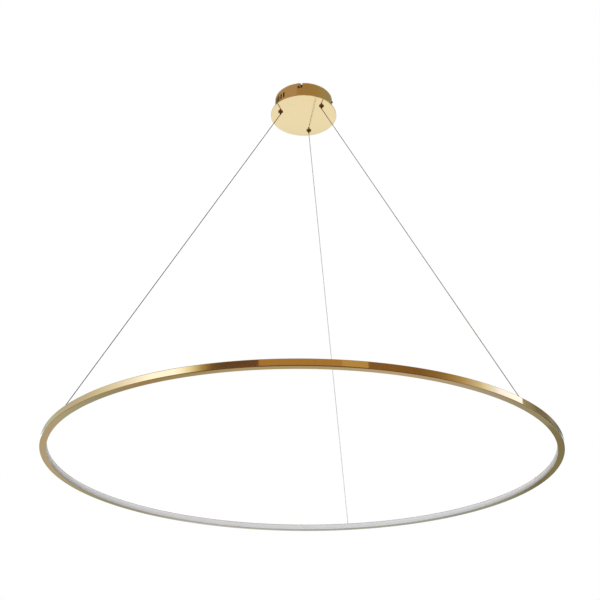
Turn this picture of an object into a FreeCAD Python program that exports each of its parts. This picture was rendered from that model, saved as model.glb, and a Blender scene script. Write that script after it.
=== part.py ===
import FreeCAD, Part
import math
import os

# LED ring chandelier: a thin ring hung on three wires from a small round canopy.
# Millimetres, +Z up. The origin is the centre of the ceiling plate's upper face, which lies on
# the ceiling. Azimuths are in degrees about +Z: 0 is towards -Y, and they grow towards +X.

V = FreeCAD.Vector
UP = V(0, 0, 1)
ORIGIN = V(0, 0, 0)
PLAY = 0.05                  # radial play of a screw in its hole or a wire in its ferrule
GAP = 0.1                    # gap between pieces that only lie beside each other
OVERSHOOT = 5.0              # how far a cutting tool runs past a drum or tab wall

# --- driving dimensions ---------------------------------------------------------------------
RING_R = 600.0               # outer radius of the ring
PROFILE_W = 15.0             # aluminium profile, radial width
PROFILE_H = 15.0             # aluminium profile, height
PROFILE_BACK = 1.4           # its outer wall
PROFILE_WALL = 1.2           # its top and bottom walls
PROFILE_ROUND = 1.5          # its outer corners
LIP_ROUND = 0.3              # its lips beside the diffuser
SEAMS = (2.2, 178.9)         # azimuths where the two halves of the ring meet
SEAM_GAP = 0.3               # width of each seam
DROP = 1023.0                # underside of the canopy disc to underside of the ring

DRUM_R = 80.5                # canopy drum, outer radius
DRUM_WALL = 1.2
RIM_GAP = 0.5                # rim to ceiling
DRUM_H = 52.0                # rim to underside of the disc
DISC_R = 92.0                # polished disc under the drum
DISC_T = 2.0

GRIP_AZIMUTHS = (-73.0, 47.0, 167.0)
GRIP_CIRCLE_R = 67.5         # the wires leave the canopy on this radius
WIRE_R = 1.0
NOZZLE_R = 2.2               # release nozzle that hangs out of each gripper
NOZZLE_SHOWS = 5.0           # how far it stands out below the gripper
BARREL_R = 4.0               # M8 x 1 threaded barrel
FLANGE_R = 6.75

SCREW_AZIMUTH = -10.5        # first side screw; the others follow every 90 degrees
TWIST = 5.8                  # turn of the canopy from locked to free
SLOT_W = 3.6                 # bayonet slot, where the screw clamps
ENTRY_W = 5.0                # its mouth in the rim
SCREW_DEPTH = 14.0           # rim to the side screws' axes
SCREW_R = 1.5                # M3
VENT_W = 5.5
VENT_L = 18.0
VENT_DEPTH = 23.7            # rim to the middle of the vents
VENT_PITCH = 8.05
VENT_COUNT = 4
VENT_GROUPS = (-55.5, 124.5)  # middle azimuth of each group of vents

PLATE_R = 72.0               # ceiling plate
PLATE_T = 1.5
FIXING_PITCH = 100.0         # two slots for the ceiling screws
FIXING_SLOT_L = 20.0
FIXING_SLOT_R = 2.5
TAB_W = 14.0
TAB_ROOT = 12.0              # how far the tabs' strips reach in over the plate
TAB_BEND = 1.5               # inner radius of their bend
TAB_FACE = 77.5              # outer face of the bent tabs, from the axis
TAB_BELOW = 6.0              # the tabs end this far under the side screws' axes
CABLE_HOLE_R = 10.0
GROMMET_R = 5.0              # bore of the grommet in it

CASE = V(92.0, 42.0, 24.0)   # LED driver case
CASE_Y = 4.0
CASE_WALL = 1.5
LED_COUNT = 216
LED = V(0.8, 3.5, 2.8)       # thickness, width along the strip, height
STRIP_T = 0.8
STRIP_H = 10.0

# --- places worked out from them ------------------------------------------------------------
RIM_Z = -RIM_GAP
DISC_Z = RIM_Z - DRUM_H                  # underside of the disc
FLOOR_Z = DISC_Z + DISC_T                # underside of the drum's floor
INSIDE_Z = FLOOR_Z + DRUM_WALL           # upper side of the drum's floor
SCREW_Z = RIM_Z - SCREW_DEPTH
RING_Z = DISC_Z - DROP                   # underside of the ring
RING_TOP = RING_Z + PROFILE_H
PROFILE_R = RING_R - PROFILE_W           # inner radius of the ring
BACK_R = RING_R - PROFILE_BACK           # inner face of its outer wall
STRIP_R = BACK_R - GAP - STRIP_T         # face of the LED strip
ANCHOR_R = RING_R - 6.5                  # the wires enter the ring on this radius
RING_MID = RING_Z + PROFILE_H / 2

BUSH_T = 1.0
WASHER_T = 0.6
FLANGE_T = 1.0
GRIPPER_CONE_H = 2.8
BARREL_BASE = DISC_Z - WASHER_T - FLANGE_T - GRIPPER_CONE_H
BARREL_TOP = DISC_Z + 17.0
GUIDE_TOP = DISC_Z + 2.0                 # the nozzle's guide bore ends here and the cone starts
CONE_TOP = DISC_Z + 8.0
CHAMBER_R = 3.1
GUIDE_R = NOZZLE_R + PLAY
PLUG_Z = BARREL_TOP - 3.5
MOUTH_Z = BARREL_BASE - NOZZLE_SHOWS     # the free wires start here
NOZZLE_TOP = GUIDE_TOP + 1.2
BALL_R = 0.72
BALL_Z = NOZZLE_TOP + BALL_R + PLAY
STOP_TOP = BARREL_TOP + 6.0


# --- helpers --------------------------------------------------------------------------------
def polar(radius, azimuth, z=0.0):
    """The point at a radius, azimuth and height."""
    angle = math.radians(azimuth)
    return V(radius * math.sin(angle), -radius * math.cos(angle), z)


def cylinder(radius, low, high, x=0.0, y=0.0):
    return Part.makeCylinder(radius, high - low, V(x, y, low))


def tube(inner, outer, low, high):
    return cylinder(outer, low, high).cut(cylinder(inner, low - GAP, high + GAP))


def block(size, centre_x, centre_y, low):
    return Part.makeBox(size.x, size.y, size.z, V(centre_x - size.x / 2, centre_y - size.y / 2, low))


def rounded_wire(points, radii, closed=False):
    """Straight runs through the points, joined at each corner by a tangent arc of that radius."""
    turns = []
    for i, corner in enumerate(points):
        if radii[i] == 0:
            turns.append((corner, None, corner))
            continue
        back = (points[i - 1] - corner).normalize()
        ahead = (points[(i + 1) % len(points)] - corner).normalize()
        half = back.getAngle(ahead) / 2
        reach = radii[i] / math.tan(half)
        inward = (back + ahead).normalize() * (radii[i] / math.sin(half) - radii[i])
        turns.append((corner + back * reach, corner + inward, corner + ahead * reach))
    edges = []
    for i, (start, middle, end) in enumerate(turns):
        if middle:
            edges.append(Part.Arc(start, middle, end).toShape())
        if closed or i < len(turns) - 1:
            edges.append(Part.LineSegment(end, turns[(i + 1) % len(turns)][0]).toShape())
    return Part.Wire(edges)


def turned(outline, rounds=None, start=0.0, end=360.0):
    """A solid turned about Z from an outline of (radius, height) points; rounds maps a corner to a radius."""
    radii = [0.0] * len(outline)
    for corner, radius in (rounds or {}).items():
        radii[corner] = radius
    wire = rounded_wire([V(r, 0, z) for r, z in outline], radii, closed=True)
    solid = Part.Face(wire).revolve(ORIGIN, UP, end - start)
    solid.rotate(ORIGIN, UP, start - 90)
    return solid


def at_azimuth(shape, azimuth):
    """A shape drawn about the +X direction, turned to an azimuth."""
    copy = shape.copy()
    copy.rotate(ORIGIN, UP, azimuth - 90)
    return copy


def at_grippers(shape, radius=GRIP_CIRCLE_R):
    """One copy of a shape drawn about the Z axis on each of the three wires."""
    return [shape.translated(polar(radius, azimuth)) for azimuth in GRIP_AZIMUTHS]


def all_cut(shape, tools):
    return shape.cut(Part.Compound(tools))


def lead(points, radius):
    """A round lead: straight runs, with arcs as large as the runs beside them allow."""
    radii = [0.0] * len(points)
    for i in range(1, len(points) - 1):
        back = points[i - 1] - points[i]
        ahead = points[i + 1] - points[i]
        shorter = min(back.Length, ahead.Length)
        turn = math.pi - back.getAngle(ahead)
        radii[i] = 0.45 * shorter / math.tan(turn / 2)
    path = rounded_wire(points, radii)
    section = Part.Wire(Part.makeCircle(radius, points[0], points[1] - points[0]))
    return path.makePipeShell([section], True, False)


def radial_hole(radius, azimuth, z, inner, outer):
    """A round hole or shank along a radius."""
    return at_azimuth(Part.makeCylinder(radius, outer - inner, V(inner, 0, z), V(1, 0, 0)), azimuth)


def ring_sector(inner, outer, low, high, start, end):
    return turned([(inner, low), (outer, low), (outer, high), (inner, high)], None, start, end)


# --- ceiling plate and what is fixed to it --------------------------------------------------
SCREW_AZIMUTHS = [SCREW_AZIMUTH + 90 * k for k in range(4)]
TAB_LOW = SCREW_Z - TAB_BELOW
HEAD_R = 2.8
HEAD_T = 2.2
HEAD_ROUND = 0.9
HEAD_SEAT = DRUM_R + 0.3
RECESS_L = 3.0
RECESS_W = 0.7
RECESS_DEPTH = 1.1
SCREW_INSIDE = 5.0           # length of screw inside the tab
TIP_CHAMFER = 0.4
EARTH_XY = (0.0, -40.0)
EARTH_R = 2.0                # M4
EARTH_HEAD_R = 3.5
EARTH_HEAD_T = 2.8
EARTH_SLOT_DEPTH = 1.1
TAG_R = 4.2
TAG_T = 0.8
GROMMET_LIP_R = CABLE_HOLE_R + 2.4
GROMMET_H = 3.0
SOFT_ROUND = 1.0


def ceiling_plate():
    root = PLATE_R - TAB_ROOT
    corners = [(root, 0), (TAB_FACE, 0), (TAB_FACE, TAB_LOW), (TAB_FACE - PLATE_T, TAB_LOW),
               (TAB_FACE - PLATE_T, -PLATE_T), (root, -PLATE_T)]
    radii = [0, TAB_BEND + PLATE_T, 0, 0, TAB_BEND, 0]
    side = rounded_wire([V(x, -TAB_W / 2, z) for x, z in corners], radii, closed=True)
    tab = Part.Face(side).extrude(V(0, TAB_W, 0))
    plate = cylinder(PLATE_R, -PLATE_T, 0).fuse([at_azimuth(tab, a) for a in SCREW_AZIMUTHS])
    holes = [radial_hole(SCREW_R + PLAY, a, SCREW_Z, PLATE_R, TAB_FACE + OVERSHOOT) for a in SCREW_AZIMUTHS]
    holes.append(cylinder(CABLE_HOLE_R, -PLATE_T - GAP, GAP))
    holes.append(cylinder(EARTH_R + PLAY, -PLATE_T - GAP, GAP, *EARTH_XY))
    straight = FIXING_SLOT_L - 2 * FIXING_SLOT_R
    for side_sign in (-1, 1):
        middle = side_sign * FIXING_PITCH / 2
        holes.append(block(V(straight, 2 * FIXING_SLOT_R, PLATE_T + 2 * GAP), middle, 0, -PLATE_T - GAP))
        for end_sign in (-1, 1):
            x = middle + end_sign * straight / 2
            holes.append(cylinder(FIXING_SLOT_R, -PLATE_T - GAP, GAP, x, 0))
    return all_cut(plate, holes).removeSplitter()


def side_screw(azimuth):
    """A pan-head screw with a cross recess, drawn along Z and laid along its radius."""
    tip = TAB_FACE - SCREW_INSIDE
    top = HEAD_SEAT + HEAD_T
    outline = [(0, tip), (SCREW_R - TIP_CHAMFER, tip), (SCREW_R, tip + TIP_CHAMFER), (SCREW_R, HEAD_SEAT),
               (HEAD_R, HEAD_SEAT), (HEAD_R, top), (0, top)]
    screw = turned(outline, {5: HEAD_ROUND})
    for length, width in ((RECESS_L, RECESS_W), (RECESS_W, RECESS_L)):
        screw = screw.cut(block(V(length, width, RECESS_DEPTH + GAP), 0, 0, top - RECESS_DEPTH))
    screw.rotate(ORIGIN, V(0, 1, 0), 90)
    screw.translate(V(0, 0, SCREW_Z))
    return at_azimuth(screw, azimuth)


def side_screws():
    return Part.Compound([side_screw(a) for a in SCREW_AZIMUTHS])


def earth_screw():
    """Screw, and the ring tag of the earth lead that it clamps under the plate."""
    seat = -PLATE_T - TAG_T
    foot = seat - EARTH_HEAD_T
    tag = tube(EARTH_R + PLAY, TAG_R, seat, -PLATE_T)
    outline = [(0, foot), (EARTH_HEAD_R, foot), (EARTH_HEAD_R, seat), (EARTH_R, seat), (EARTH_R, 0), (0, 0)]
    head = turned(outline, {1: SOFT_ROUND})
    screw = head.cut(block(V(2 * TAG_R, RECESS_W, EARTH_SLOT_DEPTH + GAP), 0, 0, foot - GAP))
    place = V(EARTH_XY[0], EARTH_XY[1], 0)
    return Part.Compound([screw.translated(place), tag.translated(place)])


def cable_grommet():
    """Rubber ring in the plate's hole; its groove holds the plate's edge. It ends flush with the ceiling."""
    low = -PLATE_T - GAP
    foot = -PLATE_T - GROMMET_H
    neck = CABLE_HOLE_R - GAP
    outline = [(GROMMET_R, foot), (GROMMET_LIP_R, foot), (GROMMET_LIP_R, low), (neck, low), (neck, -GAP),
               (GROMMET_R, -GAP)]
    return turned(outline, {1: SOFT_ROUND})


# --- canopy -----------------------------------------------------------------------------------
GRIP_HOLE_R = BARREL_R + 1.3
DRUM_ROUND = 1.2             # outside of the cup's lower corner; its inside has half of that
DISC_ROUNDS = (0.6, 0.4)     # lower and upper corner of the disc's edge


def bayonet_slots():
    """An L under each screw: down from the rim, then sideways to where the screw clamps."""
    low, high = SCREW_Z - SLOT_W / 2, SCREW_Z + SLOT_W / 2
    inner, outer = DRUM_R - OVERSHOOT, DRUM_R + OVERSHOOT
    parts = []
    for end in SCREW_AZIMUTHS:
        entry = end + TWIST
        mouth = Part.makeBox(outer - inner, ENTRY_W, -SCREW_Z, V(inner, -ENTRY_W / 2, SCREW_Z))
        parts.append(at_azimuth(mouth, entry))
        parts.append(ring_sector(inner, outer, low, high, end, entry))
        parts.append(radial_hole(SLOT_W / 2, end, SCREW_Z, inner, outer))
        parts.append(radial_hole(ENTRY_W / 2, entry, SCREW_Z, inner, outer))
    return parts


def vents():
    inner, outer = DRUM_R - OVERSHOOT, DRUM_R + OVERSHOOT
    middle = RIM_Z - VENT_DEPTH
    half = (VENT_L - VENT_W) / 2
    slot = Part.makeBox(outer - inner, VENT_W, 2 * half, V(inner, -VENT_W / 2, middle - half))
    parts = []
    for group in VENT_GROUPS:
        for k in range(VENT_COUNT):
            azimuth = group + (k - (VENT_COUNT - 1) / 2) * VENT_PITCH
            parts.append(at_azimuth(slot, azimuth))
            parts.append(radial_hole(VENT_W / 2, azimuth, middle - half, inner, outer))
            parts.append(radial_hole(VENT_W / 2, azimuth, middle + half, inner, outer))
    return parts


def canopy_drum():
    inner = DRUM_R - DRUM_WALL
    outline = [(0, FLOOR_Z), (DRUM_R, FLOOR_Z), (DRUM_R, RIM_Z), (inner, RIM_Z), (inner, INSIDE_Z),
               (0, INSIDE_Z)]
    cup = turned(outline, {1: DRUM_ROUND, 4: DRUM_ROUND / 2})
    holes = at_grippers(cylinder(GRIP_HOLE_R, FLOOR_Z - GAP, INSIDE_Z + GAP))
    for x, y in DRIVER_SCREWS + TERMINAL_SCREWS:
        holes.append(cylinder(M3_R + PLAY, FLOOR_Z - GAP, INSIDE_Z + GAP, x, y))
    return all_cut(cup, bayonet_slots() + vents() + holes)


def canopy_disc():
    outline = [(0, DISC_Z), (DISC_R, DISC_Z), (DISC_R, FLOOR_Z), (0, FLOOR_Z)]
    disc = turned(outline, {1: DISC_ROUNDS[0], 2: DISC_ROUNDS[1]})
    return all_cut(disc, at_grippers(cylinder(GRIP_HOLE_R, DISC_Z - GAP, FLOOR_Z + GAP)))


# --- wire grippers ------------------------------------------------------------------------------
CONE_END_R = NOZZLE_R + 1.1  # small end of the gripper's outer cone
EDGE_ROUND = 0.4
NOZZLE_BORE_R = 1.25
KEY_SLOT = V(2 * CHAMBER_R, 0.9, 1.2)
SPRING_WIRE_R = 0.25
SPRING_R = 1.9
SPRING_PITCH = 1.15
BUSH_SHOULDER_R = 7.5
WASHER_R = FLANGE_R - 0.5
NUT_FLATS = 13.0
NUT_T = 4.0
NUT_CHAMFER = 0.6
STOP_R = 1.8
NOZZLE_ROUND = 0.5
TRIM = 4.0                   # spare rod at each end of a wire, cut off level


def cone_r(z):
    """Radius of the gripper's inner cone, which widens upwards."""
    return GUIDE_R + (CHAMBER_R - GUIDE_R) * (z - GUIDE_TOP) / (CONE_TOP - GUIDE_TOP)


def gripper_barrel():
    flange_low = DISC_Z - WASHER_T - FLANGE_T
    flange_top = DISC_Z - WASHER_T
    outline = [(GUIDE_R, BARREL_BASE), (CONE_END_R, BARREL_BASE), (FLANGE_R, flange_low),
               (FLANGE_R, flange_top), (BARREL_R, flange_top), (BARREL_R, BARREL_TOP),
               (CHAMBER_R, BARREL_TOP), (CHAMBER_R, CONE_TOP), (GUIDE_R, GUIDE_TOP)]
    return turned(outline, {1: EDGE_ROUND, 2: EDGE_ROUND, 3: EDGE_ROUND})


def gripper_plug():
    """Threaded plug that closes the barrel and holds the spring; two notches take the key."""
    plug = tube(NOZZLE_BORE_R, CHAMBER_R - PLAY, PLUG_Z, BARREL_TOP)
    return plug.cut(block(KEY_SLOT + V(0, 0, GAP), 0, 0, BARREL_TOP - KEY_SLOT.z))


def gripper_spring():
    """Compression spring between the balls and the plug."""
    low = BALL_Z + BALL_R + SPRING_WIRE_R + GAP
    high = PLUG_Z - SPRING_WIRE_R - PLAY
    path = Part.makeHelix(SPRING_PITCH, high - low, SPRING_R)
    path.translate(V(0, 0, low))
    section = Part.Wire(Part.makeCircle(SPRING_WIRE_R, V(SPRING_R, 0, low), V(0, 1, 0)))
    print("gripper spring: pitch %.2f mm, least gap between coils %.2f mm"
          % (SPRING_PITCH, SPRING_PITCH - 2 * SPRING_WIRE_R))
    return path.makePipeShell([section], True, True)


def shoulder_bush():
    """Nylon bush that keeps the live barrel off the canopy, drawn as one turned piece."""
    inner = BARREL_R + GAP
    outline = [(inner, DISC_Z), (GRIP_HOLE_R - GAP, DISC_Z), (GRIP_HOLE_R - GAP, INSIDE_Z),
               (BUSH_SHOULDER_R, INSIDE_Z), (BUSH_SHOULDER_R, INSIDE_Z + BUSH_T), (inner, INSIDE_Z + BUSH_T)]
    return turned(outline)


def insulating_washer():
    return tube(BARREL_R + GAP, WASHER_R, DISC_Z - WASHER_T, DISC_Z)


def lock_nut():
    low = INSIDE_Z + BUSH_T
    high = low + NUT_T
    corner_r = NUT_FLATS / math.sqrt(3)
    corners = [polar(corner_r, 60 * k, low) for k in range(7)]
    hexagon = Part.Face(Part.makePolygon(corners)).extrude(V(0, 0, NUT_T))
    dome = turned([(0, low), (corner_r, low), (corner_r, high - NUT_CHAMFER),
                   (corner_r - 2 * NUT_CHAMFER, high), (0, high)])
    return hexagon.common(dome).cut(cylinder(BARREL_R + PLAY, low - GAP, high + GAP))


def release_nozzle():
    """Push-up sleeve round the wire. Its flared head rests in the barrel's cone and carries the balls."""
    outline = [(NOZZLE_BORE_R, MOUTH_Z), (NOZZLE_R, MOUTH_Z), (NOZZLE_R, GUIDE_TOP),
               (cone_r(NOZZLE_TOP) - PLAY, NOZZLE_TOP), (NOZZLE_BORE_R, NOZZLE_TOP)]
    return turned(outline, {1: NOZZLE_ROUND})


def clamping_balls():
    """Three balls that the cone presses on the wire when the ring pulls it down."""
    circle = WIRE_R + BALL_R + PLAY
    return [Part.makeSphere(BALL_R, polar(circle, 120 * k, BALL_Z)) for k in range(3)]


def end_stop():
    """Ferrule crimped on the wire above the plug: the ring can hang no lower."""
    return tube(WIRE_R + PLAY, STOP_R, BARREL_TOP, STOP_TOP)


def suspension_wire(azimuth):
    """The free stretch of one wire: a single straight run from the nozzle's mouth to the ring's top."""
    start = polar(GRIP_CIRCLE_R, azimuth, MOUTH_Z)
    end = polar(ANCHOR_R, azimuth, RING_TOP)
    along = (end - start).normalize()
    run = start.distanceToPoint(end)
    rod = Part.makeCylinder(WIRE_R, run + 2 * TRIM, start - along * TRIM, along)
    between = Part.makeCylinder(RING_R, MOUTH_Z - RING_TOP, V(0, 0, RING_TOP))
    wire = rod.common(between)
    print("wire at azimuth %g: %.1f mm, volume over section times length %.4f"
          % (azimuth, run, wire.Volume / (math.pi * WIRE_R ** 2 * run)))
    return wire


# --- driver and wiring in the canopy --------------------------------------------------------------
M3_R = 1.5
PAN_R = 2.8                  # head of the M3 screws
PAN_T = 1.8
PAN_ROUND = 0.8
PAN_SLOT = V(3.4, 0.7, 0.8)
CORNER_R = 2.0               # upright corners of the driver's case
EAR_L = 8.0
EAR_W = 10.0
EAR_T = 2.5
LID_LIP = 2.0
LID_LIP_T = 1.2
DRIVER_SCREWS = [(sign * (CASE.x / 2 + EAR_L / 2), CASE_Y) for sign in (-1, 1)]
CASE_TOP = INSIDE_Z + CASE.z
TERMINAL = V(30.0, 16.0, 14.0)
TERMINAL_XY = (-8.0, -44.0)
TERMINAL_SCREWS = [TERMINAL_XY]
TERMINAL_SEAT_UP = 6.0       # the fixing screw's seat above the drum's floor
TERMINAL_WELL_R = 3.2
POLE_XY = [(x, y) for x in (-9.0, 9.0) for y in (-4.5, 4.5)]
POLE_R = 1.8
POLE_UP = 7.0
POLE_SUNK = 1.5
POLE_SLOT = V(4.0, 0.6, 0.8)
LEAD_R = 1.2
LEAD_Z = (-42.4, -39.0)
OUTPUT_Z = -36.0
OUTPUT_Y = (-4.0, 10.0)


def driver_case():
    outer = block(CASE, 0, CASE_Y, INSIDE_Z)
    corners = [e for e in outer.Edges if abs(e.BoundBox.ZLength - CASE.z) < GAP]
    outer = outer.makeFillet(CORNER_R, corners)
    ears = block(V(CASE.x + 2 * EAR_L, EAR_W, EAR_T), 0, CASE_Y, INSIDE_Z)
    hollow = block(V(CASE.x - 2 * CASE_WALL, CASE.y - 2 * CASE_WALL, CASE.z), 0, CASE_Y, INSIDE_Z + CASE_WALL)
    case = outer.fuse(ears).cut(hollow)
    holes = [cylinder(M3_R + PLAY, INSIDE_Z - GAP, INSIDE_Z + EAR_T + GAP, x, y) for x, y in DRIVER_SCREWS]
    ports = [(1, y, OUTPUT_Z) for y in OUTPUT_Y] + [(-1, CASE_Y, z) for z in LEAD_Z]
    for side, y, z in ports:
        start = V(side * (CASE.x / 2 - 2 * CASE_WALL), y, z)
        holes.append(Part.makeCylinder(LEAD_R + GAP, 3 * CASE_WALL, start, V(side, 0, 0)))
    return all_cut(case, holes)


def driver_cover():
    lid = block(V(CASE.x, CASE.y, CASE_WALL), 0, CASE_Y, CASE_TOP)
    corners = [e for e in lid.Edges if abs(e.BoundBox.ZLength - CASE_WALL) < GAP]
    lid = lid.makeFillet(CORNER_R, corners)
    inset = 2 * (CASE_WALL + GAP)
    lip = block(V(CASE.x - inset, CASE.y - inset, LID_LIP), 0, CASE_Y, CASE_TOP - LID_LIP)
    thin = inset + 2 * LID_LIP_T
    room = block(V(CASE.x - thin, CASE.y - thin, LID_LIP), 0, CASE_Y, CASE_TOP - LID_LIP)
    return lid.fuse(lip.cut(room))


BOARD_Z = INSIDE_Z + CASE_WALL + 2.0
BOARD_T = 1.6
BOARD_MARGIN = V(8.0, 6.0, 0)
# size of each block, and its place on the board: transformer, choke, switching transistor
BLOCKS = ((V(20, 18, 14), 0, 0), (V(10, 12, 10), -22, 6), (V(4.5, 10, 12), -16, -9))
# radius, height and place of each capacitor
CANS = ((5.0, 15.0, 24, 6), (4.0, 12.0, 24, -7))


def driver_board():
    return block(V(CASE.x - BOARD_MARGIN.x, CASE.y - BOARD_MARGIN.y, BOARD_T), 0, CASE_Y, BOARD_Z)


def driver_components():
    """Transformer, choke, two capacitors and the switching transistor, standing on the board."""
    top = BOARD_Z + BOARD_T
    pieces = [block(size, x, CASE_Y + y, top) for size, x, y in BLOCKS]
    pieces += [cylinder(radius, top, top + height, x, CASE_Y + y) for radius, height, x, y in CANS]
    return Part.Compound(pieces)


def cross_screw(x, y, seat, tip):
    """A small pan-head screw that points down, its head on the height seat."""
    top = seat + PAN_T
    outline = [(0, tip), (M3_R, tip), (M3_R, seat), (PAN_R, seat), (PAN_R, top), (0, top)]
    screw = turned(outline, {4: PAN_ROUND}).cut(block(PAN_SLOT + V(0, 0, GAP), 0, 0, top - PAN_SLOT.z))
    return screw.translated(V(x, y, 0))


def driver_screws():
    return Part.Compound([cross_screw(x, y, INSIDE_Z + EAR_T, FLOOR_Z + GAP) for x, y in DRIVER_SCREWS])


TERMINAL_SEAT = INSIDE_Z + TERMINAL_SEAT_UP
TERMINAL_TOP = INSIDE_Z + TERMINAL.z


def terminal_block():
    x, y = TERMINAL_XY
    body = block(TERMINAL, x, y, INSIDE_Z)
    cuts = [cylinder(M3_R + PLAY, INSIDE_Z - GAP, TERMINAL_TOP, x, y),
            cylinder(TERMINAL_WELL_R, TERMINAL_SEAT, TERMINAL_TOP + GAP, x, y)]
    for dx, dy in POLE_XY:
        cuts.append(cylinder(POLE_R + GAP, INSIDE_Z + POLE_UP, TERMINAL_TOP + GAP, x + dx, y + dy))
    return all_cut(body, cuts)


def terminal_screws():
    """The fixing screw and the four clamping screws of the two poles."""
    x, y = TERMINAL_XY
    pieces = [cross_screw(x, y, TERMINAL_SEAT, FLOOR_Z + GAP)]
    top = TERMINAL_TOP - POLE_SUNK
    for dx, dy in POLE_XY:
        clamp = cylinder(POLE_R, INSIDE_Z + POLE_UP + PLAY, top, x + dx, y + dy)
        pieces.append(clamp.cut(block(POLE_SLOT + V(0, 0, GAP), x + dx, y + dy, top - POLE_SLOT.z)))
    return Part.Compound(pieces)


MAINS_ROUTE = ((-39, -44), (-52, -33), (-54, -16), (-53, CASE_Y))
TO_SECOND = (V(58, -18, -30), V(55, -34, -26))
TO_THIRD = (V(54, 28, -30), V(34, 46, -26))
LEAD_OUT = 8.0               # straight stretch out of the driver
LEAD_RISE = V(0, 0, 5)       # straight stretch above a wire's end


def mains_leads():
    """Two leads from the terminal block's end round to the driver's input end."""
    gate = CASE.x / 2 - CASE_WALL
    leads = []
    for z in LEAD_Z:
        first = V(TERMINAL_XY[0] - TERMINAL.x / 2, TERMINAL_XY[1], z)
        points = [first] + [V(x, y, z) for x, y in MAINS_ROUTE] + [V(-gate, CASE_Y, z)]
        leads.append(lead(points, LEAD_R))
    return Part.Compound(leads)


def output_leads():
    """One lead from the driver's output end to each of the two wires that carry the current."""
    gate = CASE.x / 2
    leads = []
    for azimuth, y, route in zip(GRIP_AZIMUTHS[1:], OUTPUT_Y, (TO_SECOND, TO_THIRD)):
        wire = polar(GRIP_CIRCLE_R, azimuth, STOP_TOP)
        points = [V(gate - CASE_WALL, y, OUTPUT_Z), V(gate + LEAD_OUT, y, OUTPUT_Z), *route,
                  wire + LEAD_RISE, wire]
        leads.append(lead(points, LEAD_R))
    return Part.Compound(leads)


# --- ring -------------------------------------------------------------------------------------
HALVES = {"a": SEAMS, "b": (SEAMS[1], SEAMS[0] + 360)}
RIB_R = PROFILE_R + 2.4      # retaining ribs for the diffuser
RIB_W = 0.8
RIB_H = 0.5
ANCHOR_HOLE_R = 2.2
LEG_BACK = 1.6               # thickness of the diffuser's face
LEG_T = 0.8
HOOK = 1.3
STRIP_TRIM = 0.3             # degrees of strip left off at each seam
PAD_OFFSET = 3.4             # solder pads, above and below the strip's middle
JUMPER_SPAN = 0.7            # degrees to each side of a seam


def seam_angle(gap, radius):
    return math.degrees(gap / radius)


def mirrored(half):
    """An outline of (radius, height above the ring's underside) and its reflection at mid height."""
    low = [(r, RING_Z + h) for r, h in half]
    high = [(r, RING_TOP - h) for r, h in reversed(half)]
    return low + high


def ring_profile(half):
    """Half of the ring: a rolled aluminium channel, open towards the ring's centre."""
    start, end = HALVES[half]
    trim = seam_angle(SEAM_GAP / 2, RING_R)
    lower = [(RIB_R, PROFILE_WALL), (PROFILE_R, PROFILE_WALL), (PROFILE_R, 0), (RING_R, 0)]
    upper = [(RING_R, PROFILE_H), (PROFILE_R, PROFILE_H), (PROFILE_R, PROFILE_H - PROFILE_WALL),
             (RIB_R, PROFILE_H - PROFILE_WALL)]
    rib_high = [(RIB_R, PROFILE_H - PROFILE_WALL - RIB_H), (RIB_R + RIB_W, PROFILE_H - PROFILE_WALL - RIB_H),
                (RIB_R + RIB_W, PROFILE_H - PROFILE_WALL), (BACK_R, PROFILE_H - PROFILE_WALL)]
    rib_low = [(r, PROFILE_H - h) for r, h in reversed(rib_high)]
    outline = [(r, RING_Z + h) for r, h in lower + upper + rib_high + rib_low]
    rounds = {2: LIP_ROUND, 3: PROFILE_ROUND, 4: PROFILE_ROUND, 5: LIP_ROUND}
    solid = turned(outline, rounds, start + trim, end - trim)
    holes = at_grippers(cylinder(ANCHOR_HOLE_R, RING_TOP - PROFILE_WALL - GAP, RING_TOP + GAP), ANCHOR_R)
    return all_cut(solid, holes)


def diffuser(half):
    """Opal strip: its face closes the channel, and two barbed legs snap in behind the ribs."""
    start, end = HALVES[half]
    trim = seam_angle(SEAM_GAP / 2, PROFILE_R)
    foot = PROFILE_WALL + GAP
    leg = PROFILE_WALL + RIB_H + GAP
    back = PROFILE_R + LEG_BACK
    hook = RIB_R + RIB_W + GAP
    tip = hook + HOOK
    lower = [(back, leg + LEG_T), (tip, leg + LEG_T), (tip, leg), (hook, foot), (hook, leg), (back, leg),
             (back, foot), (PROFILE_R + GAP, foot)]
    return turned(mirrored(lower), {7: LIP_ROUND, 8: LIP_ROUND}, start + trim, end - trim)


def led_strip(half):
    start, end = HALVES[half]
    low = RING_MID - STRIP_H / 2
    return ring_sector(STRIP_R, BACK_R - GAP, low, low + STRIP_H, start + STRIP_TRIM, end - STRIP_TRIM)


def led_chips():
    chip = Part.makeBox(LED.x, LED.y, LED.z, V(STRIP_R - PLAY - LED.x, -LED.y / 2, RING_MID - LED.z / 2))
    step = 360.0 / LED_COUNT
    return Part.Compound([at_azimuth(chip, SEAMS[0] + (k + 0.5) * step) for k in range(LED_COUNT)])


BAR_INNER = RING_R - 8.6
BAR_OUTER = RING_R - 3.8
BAR_T = 1.5
BAR_SPAN = 4.8               # degrees that a splice bar covers
GRUB_R = 1.25
GRUB_L = 2.6
GRUB_OFFSETS = (-1.8, -0.8, 0.8, 1.8)


def bar_levels():
    """Low and high side of the bars under the top wall and on the bottom wall."""
    low = RING_Z + PROFILE_WALL + GAP
    high = RING_TOP - PROFILE_WALL - GAP
    return ((low, low + BAR_T), (high - BAR_T, high))


def splice_bars():
    middle = (BAR_INNER + BAR_OUTER) / 2
    bars = []
    for seam in SEAMS:
        for low, high in bar_levels():
            bar = ring_sector(BAR_INNER, BAR_OUTER, low, high, seam - BAR_SPAN / 2, seam + BAR_SPAN / 2)
            holes = [cylinder(GRUB_R + PLAY, low - GAP, high + GAP).translated(polar(middle, seam + offset))
                     for offset in GRUB_OFFSETS]
            bars.append(all_cut(bar, holes))
    return Part.Compound(bars)


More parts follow.
